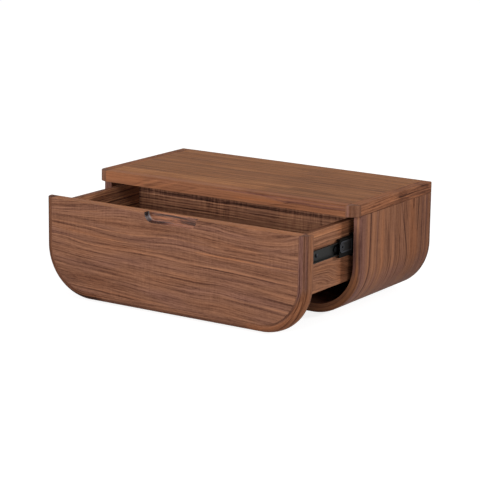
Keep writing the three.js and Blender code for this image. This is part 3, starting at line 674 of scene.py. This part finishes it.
FRONT_STREAKS = (
    (-0.16, 1.6, [(-285, 43), (-190, 38), (-160, 35), (-130, 32.5), (-100, 32), (-60, 33.5), (-20, 36),
                  (0, 37), (40, 36), (60, 35), (90, 31.5), (120, 30), (180, 29), (240, 28), (290, 27)]),
    (0.13, 1.2, [(-285, 46), (-240, 47), (-190, 45), (-140, 42), (-100, 42), (-60, 44), (0, 47), (60, 46),
                 (120, 41)], 0.4),
    (0.12, 1.1, [(-290, 34), (-230, 31), (-170, 27), (-120, 25), (-60, 26)], 0.4),
    (0.1, 1.1, [(-290, 66), (-230, 71), (-170, 77)], 0.4),
    (0.22, 1.3, [(60, 28), (100, 27), (150, 26), (200, 25), (240, 23.5), (290, 24)], 0.8),
    (0.15, 1.3, [(-290, 19), (-260, 18), (-230, 14), (-200, 10), (-180, 8.5), (-140, 8), (-40, 8.5), (0, 6),
                 (40, 4), (100, 3), (150, 2), (200, 0), (240, -3), (290, -5)], 0.3),
    (-0.14, 1.2, [(-290, 16), (-260, 15), (-230, 11), (-200, 7.3), (-180, 6), (-140, 5.3), (-40, 5.5),
                  (0, 3), (40, 1), (100, 0.5), (150, -0.8), (200, -3), (240, -6), (290, -8)]),
    (-0.12, 1.8, [(-285, 1), (-240, -3), (-160, -7), (-100, -10), (0, -13), (60, -15.5), (165, -15),
                  (200, -18), (290, -24)]),
    (-0.1, 2, [(-285, -14), (-180, -21.5), (-60, -27), (60, -31), (130, -33), (200, -37), (290, -43)]),
    (-0.15, 1.2, [(-283, -27), (-200, -32.5), (-140, -35), (-40, -41), (0, -44), (110, -43.5), (150, -47),
                  (230, -51), (290, -55)]),
    (0.1, 1.4, [(120, -50), (180, -53.5), (230, -56), (270, -58)], 0.3),
    (-0.07, 5, [(-240, -62), (-170, -66), (-100, -70)]),
    (0.1, 1.3, [(-240, -77), (-160, -80), (-80, -83), (0, -88)], 0.3),
    (-0.12, 1.3, [(-230, -83), (-180, -82.5), (-140, -85), (-60, -86.5)]),
    (-0.12, 1.4, [(0, -90), (60, -90), (100, -95), (150, -98)]),
    (0.08, 1.3, [(80, -85), (130, -86), (180, -86)]),
    (-0.05, 6, [(-280, 54), (-180, 54), (0, 52), (110, 50)]),
    (-0.1, 1.5, [(115, 45), (150, 43), (190, 42), (220, 45), (260, 44)]),
    (-0.1, 1.4, [(-285, 67), (-240, 73), (-190, 80), (-130, 88)]),
    (0.08, 1.3, [(-285, 72), (-240, 76), (-200, 83)]),
    (-0.06, 3, [(-200, 68), (-150, 72), (-60, 80)]),
    (-0.1, 1.4, [(160, 76), (210, 75), (240, 80), (265, 86), (285, 91)]),
    (0.1, 2.5, [(175, 87), (190, 87.5), (205, 87)]),
    (-0.1, 1.4, [(66, 78), (72, 83), (85, 87), (100, 89)]),
    (-0.1, 1.4, [(66, 78), (78, 75), (95, 74.5), (115, 77)]),
    (0.07, 1.3, [(200, 58), (225, 59), (250, 60)]),
    (-0.05, 45, [(-420, -70), (-80, -90)]),
)
# The front's top face is painted lighter and warmer, as a painted highlight
front_wood = walnut("front", seed=2, sway=2, wave=0.5, contrast=0.56, figure=0.5, dash=0.9,
                    ripple=0.03, lift=-0.065, warmth=0.85, tint=(1, 1.01, 1.03),
                    drift=guided(*FRONT_GUIDES), streaks=FRONT_STREAKS, top_face_light=(DRAWER_TOP, 0.3, 0.9))
pocket_wood = walnut("pocket", seed=12, sway=6, wave=4, lift=-0.1,
                     tint=(1.08, 0.95, 0.86), roughness=0.28, gloss=0.3, streaks=(
    (-0.26, 2, [(-60, 87), (60, 87)], -0.6),
    (0.16, 2.6, [(-48, 82), (-10, 79.5), (20, 78.5)], 0.8),
    (-0.14, 1.2, [(-45, 78), (-15, 76.5), (15, 76)], 0.3),
    (-0.16, 5, [(10, 84), (30, 80), (60, 78)], 1.4),
    # Painted shade along the left half of the pocket's floor, and a painted highlight along its right half
    (-0.34, 2.5, [(-75, 71.5), (-45, 71.5), (-10, 71.5)], -2.5),
    (0.55, 1.6, [(-20, 71), (20, 71), (65, 71)], -2.5),
    # A painted highlight along the top edge
    (0.34, 0.9, [(-64, 90.1), (64, 90.1)], 0.5),
))
# The pocket's left end: end grain, darkened further by painted shade and tinted blue, with a painted glint of
# light
end_shade_glint_wood = walnut("end_grain_shade_glint", seed=13, contrast=0.5, lift=-0.5, roughness=0.22, gloss=0.6,
                        tint=(0.62, 1.1, 1.6), streaks=(
    # The painted glint
    (1, 2.4, [(-66, 82.5), (-57.3, 79), (-50, 75)], -2.5),
))
slab_lip_wood = walnut("slab_lipping", seed=3, sway=4, contrast=0.32, lift=0.05,
                       tint=(1.07, 0.96, 0.86), top_face_light=(SLAB_TOP, 0.17, 0), streaks=(
    (0.1, 12, [(-330, 106), (-190, 106)], 0.4),
    (0.16, 1.8, [(-212, 94), (-190, 102), (-168, 109), (-150, 114)], 0.2),
    (0.16, 1.8, [(-176, 94), (-152, 101), (-128, 108), (-104, 114)], 0.2),
    (-0.1, 1.4, [(-222, 94), (-200, 103), (-178, 112)]),
    (-0.1, 1.4, [(-190, 95), (-165, 104), (-140, 112)]),
    (-0.1, 1.5, [(-105, 96), (-85, 103), (-55, 112)]),
    (0.06, 1.5, [(-90, 96), (-70, 103), (-40, 110)]),
    (-0.12, 1.6, [(60, 117), (95, 114), (120, 111), (148, 108), (170, 109.5)], -0.8),
    (-0.12, 1.4, [(112, 97), (132, 100), (148, 103.5), (158, 108)]),
    (-0.08, 2.2, [(150, 107), (180, 109.5), (220, 107.5), (250, 108), (300, 110)], -1.2),
    (0.07, 2.5, [(30, 103), (100, 104), (145, 105)], 0.8),
    (-0.05, 1.8, [(-10, 114.5), (300, 114)], -1),
    (-0.11, 1, [(40, 118), (330, 118)], 0.2),
    (-0.05, 12, [(150, 104), (320, 104)], 0.2),
))
side_lip_wood = walnut("side_lipping", seed=4, sway=5, contrast=0.6, lift=-0.1,
                       tint=(1.05, 0.97, 0.88), top_face_light=(SLAB_TOP, 0.13, 0.5), streaks=(
    (0.12, 1.2, [(-118, 110), (-100, 104), (-80, 100), (-30, 98)], 0.5),
    (-0.1, 1.4, [(-290, 106), (-200, 105), (-150, 103)]),
    (0.05, 10, [(-290, 106), (-150, 106)], 0.4),
    (-0.13, 14, [(-140, 106), (20, 106)], 0.2),
    (-0.2, 3, [(-135, 108), (-120, 107), (-105, 109)]),
    (-0.2, 3, [(-45, 116), (-30, 115), (-15, 113)]),
    (-0.22, 0.9, [(-300, 95.6), (-180, 95.6), (-120, 95.6)]),
    (0.14, 0.8, [(-180, 95.6), (-60, 95.6), (10, 95.6)]),
))
corner_wood = walnut("corner", seed=5, sway=4, contrast=0.34, lift=-0.05, streaks=(
    # A painted highlight running up the curve
    (0.1, 2.5, [(80, 288), (130, 288)], -1),
    (-0.12, 1.2, [(80, 293), (130, 293)], 0.5),
))
shell_wood = walnut("shell", seed=6, sway=3, contrast=0.45, figure=0.7, lift=-0.05,
                    tint=(1.015, 0.99, 0.945), streaks=(
    (-0.05, 12, [(200, -270), (470, -270)], -0.9),
    (0.09, 4, [(200, -250), (370, -251), (410, -252), (465, -254)], 0.4),
    (-0.24, 2.8, [(200, -247), (340, -247), (388, -245), (428, -243), (470, -243)], -0.5),
    (0.05, 6, [(200, -232), (465, -230)], 0.3),
    (-0.09, 1.5, [(280, -218), (465, -217)], -0.8),
    (0.07, 9, [(200, -196), (370, -196), (465, -198)], 0.4),
    (-0.13, 1.3, [(300, -178), (368, -181), (400, -180), (440, -187)]),
    (-0.15, 1.5, [(310, -163), (355, -163), (372, -166), (405, -168)]),
    (-0.1, 1.5, [(340, -171), (410, -172)]),
    (-0.13, 1.5, [(355, -142), (400, -147), (430, -151)]),
    (0.06, 3, [(340, -152), (410, -155)], 0.4),
    (-0.12, 1.5, [(310, -127), (368, -127), (410, -132)]),
    (-0.24, 1.7, [(325, -95.5), (350, -96), (369, -98), (389, -103), (409, -108), (429, -113.5), (449, -118),
                  (466, -121)], -0.3),
    (-0.14, 1.3, [(395, -106), (430, -109), (458, -112)]),
    (-0.1, 1.3, [(425, -98), (458, -104)]),
    (0, 15, [(250, -78), (470, -78)], 0.7),
    (-0.17, 2.5, [(445, -74), (467, -72)]),
    (-0.12, 2, [(390, -56), (420, -54), (465, -50)]),
    (0.04, 7, [(310, -58), (405, -60)], 0.6),
    (-0.12, 2, [(320, -36), (400, -37), (462, -33)], -0.6),
    (-0.13, 2.5, [(320, -20), (465, -19)], -1),
    (0.05, 2, [(350, -28), (462, -26)]),
    (-0.15, 2, [(100, 0), (470, 0)]),
    (-0.12, 120, [(100, 0), (500, 0)]),
    (0, 400, [(120, -140), (340, -140)], -0.45),
    (0.08, 1.2, [(290, -262), (350, -262)]),
    (0.08, 1.2, [(290, -254), (350, -256)]),
))
case_lip_wood = walnut("case_lipping", seed=7, sway=1.5, contrast=0.5, lift=0.02, streaks=(
    (-0.06, 4, [(340, 1), (470, 1)], -1.5),
    (0.18, 2.2, [(350, 7), (470, 7)], 0.1),
    (-0.1, 3.5, [(340, 14), (470, 14)], -1.6),
    (0.05, 14, [(200, 8), (370, 8)], 0.6),
    (-0.2, 14, [(-480, 8), (-350, 8)], -1.2),
    (0.1, 1.5, [(250, 5), (360, 6)], 0.6),
))
front_lip_wood = walnut("front_lipping", seed=8, sway=3, contrast=0.6, figure=0.6, lift=-0.06, streaks=(
    (-0.08, 5, [(330, 12), (470, 12)], -1.5),
    (-0.16, 1.5, [(330, 3), (470, 3)]),
    (-0.05, 4, [(350, -3), (470, -3)], -0.8),
    (-0.14, 1.5, [(330, -7.5), (470, -7.5)]),
    (0.05, 5, [(200, -17), (470, -17)], 0.5),
    (-0.15, 2, [(230, 16), (300, 16), (360, 15), (400, 14)], -0.6),
    (-0.02, 14, [(170, 0), (350, 0)], 1.8),
    (-0.2, 1.6, [(235, -8), (270, 2), (310, 8), (350, 10)]),
    (-0.2, 1.6, [(255, -18), (300, -6), (340, 0)]),
    (0.12, 1.8, [(240, -14), (280, -4), (330, 4)], 1),
    # Painted shade on the round-over where it turns away from the lamps: at the left end and along the bottom
    (-0.36, 11, [(-470, 2), (-170, 2)], 1.5),
    (-0.2, 5, [(-220, 3), (180, 3)], 0.3),
))
BOX_THREADS = tuple(
    (amount, width, [(-290, z), (-60, z + 1), (60, z - 0.5), (290, z)], 0.2)
    for amount, width, heights in (
        (0.2, 0.9, (61, 55, 49, 44, 38.5, 33)),
        (-0.12, 1.1, (58, 52, 46.5, 41, 36)),
    )
    for z in heights
)
box_wood = walnut("box", seed=9, sway=2.5, contrast=0.75, lift=0.035, ripple=0.15, roughness=0.6,
                  tint=(0.98, 0.99, 1.03), streaks=(
    # Painted shadow of the top along the boards' upper part, and painted light along their lower part
    (-0.32, 4, [(-290, 69), (290, 68)]),
    (0.12, 6, [(-290, 29), (290, 29)]),
    (0.13, 40, [(80, 55), (400, 55)]),
    *BOX_THREADS,
))
SIDE_GUIDES = (
    (95, [(-455, 95), (-320, 95), (-200, 95)]),
    (52, [(-455, 52), (-320, 52), (-200, 52)]),
    (12, [(-455, 17), (-400, 16), (-340, 12), (-290, 8), (-200, 5)]),
    (-12, [(-455, 2), (-380, 2), (-355, -2), (-330, -14), (-300, -24), (-270, -29), (-200, -33)]),
    (-36, [(-455, -34), (-320, -35), (-200, -36)]),
)
SIDE_STREAKS = (
    (0.16, 3.6, [(-460, 75), (-330, 76), (-190, 77)], 0.6),
    (-0.12, 1.2, [(-440, 70), (-190, 71)]),
    (-0.12, 1.2, [(-400, 64), (-300, 63), (-190, 62)]),
    (0.08, 1.5, [(-410, 58), (-190, 57)]),
    (-0.1, 2, [(-410, 52), (-190, 51)], 0.6),
    (0.13, 1.2, [(-400, 6), (-370, 4), (-345, 3), (-330, -3), (-310, -12), (-285, -18)], 0.3),
    (-0.12, 1.2, [(-395, 0), (-370, -3), (-345, -4), (-330, -10), (-310, -18), (-285, -24)]),
    (0.12, 1.2, [(-352, -8), (-337, -16), (-320, -23), (-300, -30)], 0.3),
    (0.12, 1.2, [(-352, 12), (-325, 4), (-300, -3), (-280, -9)], 0.3),
    (-0.1, 1.5, [(-400, 15), (-350, 16), (-300, 11), (-270, 5)]),
    # Painted shadow of the case on the side, from its edge to the rear
    (-0.1, 16, [(-318, 70), (-180, 70)], 0.8),
    (-0.05, 30, [(-314, -10), (-180, -10)], 0.8),
)
right_side_wood = walnut("box_side_right", seed=10, sway=2, contrast=0.62, lift=0.035,
                         roughness=0.55, tint=(1.02, 1.01, 0.99), drift=guided(*SIDE_GUIDES),
                         streaks=SIDE_STREAKS, top_face_light=(BOX_TOP, -0.25, 0.5))
left_side_wood = walnut("box_side_left", seed=14, sway=3, contrast=1.1, lift=0.085,
                        roughness=0.55, tint=(1.05, 1, 0.95), top_face_light=(BOX_TOP, -0.1, -0.3))
board_wood = walnut("back_board", seed=11, sway=6, contrast=0.5, lift=-0.06, ripple=0.03,
                    roughness=0.65, own_mesh=False)

black_steel = metal("black_zinc", linear(29, 29, 28), 0.45, 0.7)
# A darker, less metallic copy of the black zinc for the members deep in the case: painted shade
shaded_steel = metal("black_zinc_shaded", linear(15, 14, 13), 0.6, 0.1, 0.03)
cage_steel = metal("zinc_cage", linear(170, 172, 176), 0.34, 1)
screw_steel = metal("black_screw", linear(30, 31, 36), 0.5, 0.7)
black_plastic = plastic("black_nylon", linear(14, 14, 15), 0.42)
# The front stop, with a painted highlight on its outer face and round its head
stop_plastic = plastic("black_nylon_stop", linear(9, 9, 10), 0.5, stop_painted_highlight)
cleat_wood = plain_wood("beech_cleat", linear(168, 132, 98))


# Top: a veneered panel in solid lippings, with a quarter-round block at each front corner

# The radii of the boards' edges
LOWER_EDGE, UPPER_EDGE, JOINT_EDGE = 0.6, 1.8, 0.25


def add_top_middle():
    outline = rectangle(-SLAB_LIP_END + FIT, SLAB_LIP_END - FIT, SLAB_LIP_REAR + FIT, WALL, [JOINT_EDGE] * 4)
    panel = prism(outline, SLAB_BOTTOM, SLAB_TOP, "z", 0.3, JOINT_EDGE)
    finish_mesh("top_panel_veneer", panel, "case", "top_panel", top_wood, flat_grain)
    edges = [LOWER_EDGE, JOINT_EDGE, JOINT_EDGE, UPPER_EDGE]
    section = rectangle(SLAB_FRONT, SLAB_LIP_REAR, SLAB_BOTTOM, SLAB_TOP, edges)
    strip = prism(section, -SLAB_LIP_END, SLAB_LIP_END, "x", 0.2, 0.2)
    finish_mesh("top_front_lip", strip, "case", "top_front_lipping", slab_lip_wood,
                upright_grain)


def add_top_corner(side, sign, steps=28):
    radius = SLAB_LIP_REAR - SLAB_FRONT
    outline = [(sign * (SLAB_LIP_END + radius * math.sin(angle)), SLAB_LIP_REAR - radius * math.cos(angle))
               for angle in quarter_turn(steps, math.asin(FIT / radius))]
    outline.append((sign * (SLAB_LIP_END + FIT), SLAB_LIP_REAR))
    block = prism(outline, SLAB_BOTTOM, SLAB_TOP, "z", 0.6, 1.4)
    finish_mesh(f"top_corner_block_{side}", block, "case", f"top_corner_{side}", corner_wood,
                block_grain)


def add_top_side(side, sign):
    edges = [JOINT_EDGE, LOWER_EDGE, UPPER_EDGE, JOINT_EDGE]
    if sign < 0:
        edges = [LOWER_EDGE, JOINT_EDGE, JOINT_EDGE, UPPER_EDGE]
    left, right = sorted((sign * (SLAB_LIP_END + FIT), sign * HALF))
    section = rectangle(left, right, SLAB_BOTTOM, SLAB_TOP, edges)
    strip = prism(section, SLAB_LIP_REAR + FIT, WALL, "y", 0.2, 0.8)
    finish_mesh(f"top_side_lip_{side}", strip, "case", f"top_side_lipping_{side}",
                side_lip_wood, depth_grain)


add_top_middle()
for side, sign in SIDES:
    add_top_corner(side, sign)
    add_top_side(side, sign)


# Case: the bent shell and the lipping on its front edge

def add_case():
    section = rectangle(0, SHELL_THICKNESS, SHELL_FRONT, WALL, [0.3, 0.3, 0.6, 0.9])
    shell = sweep_u(section, SHELL_TOP, 0.3)
    finish_mesh("case_shell_bent", shell, "case", "case_shell", shell_wood, shell_grain)
    section = rectangle(0, SHELL_THICKNESS, CASE_LIP_FRONT, CASE_LIP_REAR, [1.3, 1, 0.25, 0.25])
    lipping = sweep_u(section, SHELL_TOP, 0.25)
    finish_mesh("case_front_lip", lipping, "case", "case_front_lipping", case_lip_wood,
                edge_grain)


add_case()


# Drawer front: the rounded-over lipping, and the panel with its finger pocket

ROUND_WIDTH, ROUND_DEPTH, FRONT_LIP = 17.4, 23, 18
POCKET_WIDTH, POCKET_HEIGHT, POCKET_DEPTH, POCKET_CORNER = 121, 19, 14, 18
POCKET_RIM, POCKET_COVE = 1, 3


def front_lip_section(steps=24):
    """The lipping's section, with a quarter ellipse as its round-over."""
    nick = 0.15
    rear_edge = [(0.6, FRONT_REAR), (0.25, FRONT_REAR - nick), (0, FRONT_REAR - 0.5)]
    round_over = [(ROUND_WIDTH * (1 - math.cos(angle)), FRONT_FACE + ROUND_DEPTH * (1 - math.sin(angle)))
                  for angle in quarter_turn(steps)]
    inside = [(FRONT_LIP - nick, FRONT_FACE), (FRONT_LIP, FRONT_FACE + nick), (FRONT_LIP, FRONT_REAR)]
    return [*rear_edge, *round_over, *inside]


def front_panel_outline(steps=40):
    half = HALF - FRONT_LIP - FIT
    arcs = u_arcs(CORNER - FRONT_LIP - FIT, steps)
    return [(-half, DRAWER_TOP), *(point for point, _ in arcs), (half, DRAWER_TOP)]


def pocket_cutter():
    """The finger pocket's own form, with a softened rim and a coved rear edge. It stands out of the panel
    in front and above."""
    half, foot, above = POCKET_WIDTH / 2, DRAWER_TOP - POCKET_HEIGHT, DRAWER_TOP + POCKET_HEIGHT
    corners = [(-half, foot), (half, foot), (half, above), (-half, above)]
    outline = fillet(corners, [POCKET_CORNER, POCKET_CORNER, 2, 2], 14)
    rear = FRONT_FACE + POCKET_DEPTH
    levels = [(FRONT_FACE - 10, -POCKET_RIM)]
    levels += [(FRONT_FACE + along, -amount) for along, amount in eased(POCKET_RIM, 6)]
    levels += [(rear - along, amount) for along, amount in reversed(eased(POCKET_COVE, 6))]
    return stack(outline, levels, "y")


def in_pocket(x, y, z):
    """Whether the middle of one of the panel's polygons is in the pocket, not on its face or top edge."""
    aside = abs(x) < (POCKET_WIDTH + POCKET_RIM) / 2
    deep = FRONT_FACE + 0.4 < y < FRONT_FACE + POCKET_DEPTH + 0.1
    return aside and deep and DRAWER_TOP - POCKET_HEIGHT - POCKET_RIM < z < DRAWER_TOP - 0.3


def add_drawer_front(end_slope=0.45):
    """In the pocket's left end, faces steeper than end_slope show end grain, darkened further by painted
    shade and with a painted glint.
    """
    lipping = sweep_u(front_lip_section(), DRAWER_TOP, 0.14, 64)
    finish_mesh("drawer_front_lip", lipping, "drawer", "drawer_front_lipping", front_lip_wood,
                round_grain)
    panel = prism(front_panel_outline(), FRONT_FACE, FRONT_REAR, "y", 0.2, 0.3)
    piece = finish_mesh("drawer_front_veneer", carved(panel, pocket_cutter()), "drawer", "drawer_front_panel",
                        front_wood, upright_grain)
    piece.data.materials.append(pocket_wood)
    piece.data.materials.append(end_shade_glint_wood)
    for polygon in piece.data.polygons:
        if in_pocket(*(c / MM for c in polygon.center)):
            left_end = polygon.center.x < 0 and abs(polygon.normal.x) > end_slope
            polygon.material_index = 2 if left_end else 1


add_drawer_front()


# Drawer box: four boards round a bottom that lies in their grooves

(_, _, BOTTOM_LOW), (_, _, BOTTOM_HIGH) = box_mm("drawer_bottom")
GROOVE_LOW, GROOVE_HIGH, GROOVE_DEPTH = BOTTOM_LOW - FIT, BOTTOM_HIGH + FIT, 5


def grooved_section(outside, inside):
    """A board's upright section. outside and inside are the places of its two faces."""
    deep = inside + math.copysign(GROOVE_DEPTH, outside - inside)
    outline = [(outside, BOX_BOTTOM), (inside, BOX_BOTTOM), (inside, GROOVE_LOW), (deep, GROOVE_LOW),
               (deep, GROOVE_HIGH), (inside, GROOVE_HIGH), (inside, BOX_TOP), (outside, BOX_TOP)]
    return fillet(outline, [0.8, 0.8, 0, 0, 0, 0, 1, 1])


def add_box_side(side, sign, material):
    board = prism(grooved_section(sign * SIDE_OUTER, sign * SIDE_INNER), BOX_FRONT, BOX_REAR, "y", 0.2, 0.2)
    finish_mesh(f"drawer_box_side_{side}", board, "drawer", f"drawer_side_{side}", material,
                depth_grain)


def add_box_end(end):
    (left, near, _), (right, far, _) = box_mm(f"drawer_box_{end}")
    inside, outside = sorted((near, far), key=lambda face: abs(face - (BOX_FRONT + BOX_REAR) / 2))
    board = prism(grooved_section(outside, inside), left, right, "x", 0.15, 0.15)
    finish_mesh(f"drawer_box_{end}_board", board, "drawer", f"drawer_box_{end}", box_wood,
                upright_grain)


def add_box_bottom():
    (left, near, _), (right, far, _) = box_mm("drawer_bottom")
    board = prism(rectangle(left, right, near, far, [0.4] * 4), BOTTOM_LOW, BOTTOM_HIGH, "z", 0.3, 0.3)
    finish_mesh("drawer_box_bottom", board, "drawer", "drawer_bottom", box_wood, bottom_grain)


for (side, sign), material in zip(SIDES, (left_side_wood, right_side_wood)):
    add_box_side(side, sign, material)
add_box_end("front")
add_box_end("back")
add_box_bottom()


# CAD nodes that keep their own shape, with a bevel in mm where their edges show

def dress(prefixes, material, bevel_width):
    for name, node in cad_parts.items():
        if name.startswith(prefixes) and not node.hide_render:
            for slot in node.material_slots:
                slot.material = material
            weld = node.modifiers.new("weld", "WELD")
            weld.merge_threshold = 0.01 * MM
            if bevel_width:
                bevel = node.modifiers.new("bevel", "BEVEL")
                bevel.width = bevel_width * MM
                bevel.segments = 2
                bevel.limit_method = "ANGLE"
                bevel.angle_limit = math.radians(40)


# The drawer members' screws match two of these, so their heads are rounded twice
for material, bevel_width, prefixes in (
    (black_steel, 0.25, ("drawer_member",)),
    # The members deep in the case take the black zinc's darker copy, as painted shade
    (shaded_steel, 0.25, ("cabinet_member", "intermediate_member")),
    (cage_steel, 0, ("outer_cage", "inner_cage")),
    (stop_plastic, 0.3, ("front_stop",)),
    (black_plastic, 0.3, ("release_lever",)),
    (screw_steel, 0.15, ("cleat_screw", "cabinet_screw", "front_screw", "drawer_member_screw")),
    (cleat_wood, 0.5, ("dowel", "case_cleat", "wall_cleat")),
    (board_wood, 0, ("back_panel",)),
):
    dress(prefixes, material, bevel_width)


# Floor, background and lamps

def seen_rays(g):
    """1 for what the camera sees, straight, mirrored or through glass, and 0 for the light itself."""
    path = g.node("LightPath")
    mirrored = g.math("MAXIMUM", path.outputs["Is Glossy Ray"], path.outputs["Is Transmission Ray"])
    return g.math("MAXIMUM", path.outputs["Is Camera Ray"], mirrored)


def floor_material(shadow_tone=0.4, glow=0.83, bounce_tone=0.75):
    """What is seen of the floor glows, and its lit part keeps the shadow. Other light meets a matt white."""
    material, g, output = new_material("white_floor")
    lit, matt = (g.node("BsdfDiffuse", {"Color": (tone, tone, tone, 1)}).outputs[0]
                 for tone in (shadow_tone, bounce_tone))
    glowing = g.node("Emission", {"Color": WHITE, "Strength": glow}).outputs[0]
    shown = g.node("AddShader", (lit, glowing)).outputs[0]
    g.feed(output, g.node("MixShader", (seen_rays(g), matt, shown)).outputs[0])
    return material


def add_floor(reach=6, gap=0.4):
    """A floor that reaches so many metres each way, a gap in mm below the case."""
    level = (UNDERSIDE - gap) * MM
    corners = [(-reach, -reach, level), (reach, -reach, level), (reach, reach, level), (-reach, reach, level)]
    mesh = bpy.data.meshes.new("floor")
    mesh.from_pydata(corners, [], [(0, 1, 2, 3)])
    mesh.materials.append(floor_material())
    add_object("floor", mesh)


def add_world(level):
    """A white background for what the camera and reflections see, and a soft level light."""
    world, g, output = empty_graph(bpy.data.worlds.new("studio"), "OutputWorld")
    bpy.context.scene.world = world
    strength = g.scale_add(seen_rays(g), 1 - level, level)
    g.feed(output, g.node("Background", {"Color": WHITE, "Strength": strength}).outputs[0])


def add_softbox(name, azimuth, elevation, width, height, power, distance=3):
    """A lamp aimed at the drawer. Azimuth 0 is in front of it and 90 to the right. Lengths are in metres."""
    lamp = bpy.data.lights.new(name, "AREA")
    lamp.shape = "RECTANGLE"
    lamp.size = width
    lamp.size_y = height
    lamp.energy = power
    holder = add_object(name, lamp)
    turn, rise = math.radians(azimuth), math.radians(elevation)
    direction = Vector((math.sin(turn) * math.cos(rise), -math.cos(turn) * math.cos(rise), math.sin(rise)))
    aim = Vector((0, -0.25, 0))
    holder.location = aim + direction * distance
    holder.rotation_euler = direction.to_track_quat("Z", "Y").to_euler()


add_floor()
add_world(level=0.45)
add_softbox("front_light", azimuth=-6, elevation=13, width=2.2, height=0.7, power=60)
add_softbox("side_light", azimuth=70, elevation=20, width=0.35, height=0.35, power=8)
add_softbox("rear_light", azimuth=124, elevation=20, width=0.3, height=0.3, power=44)

bpy.context.scene.view_settings.view_transform = "Standard"
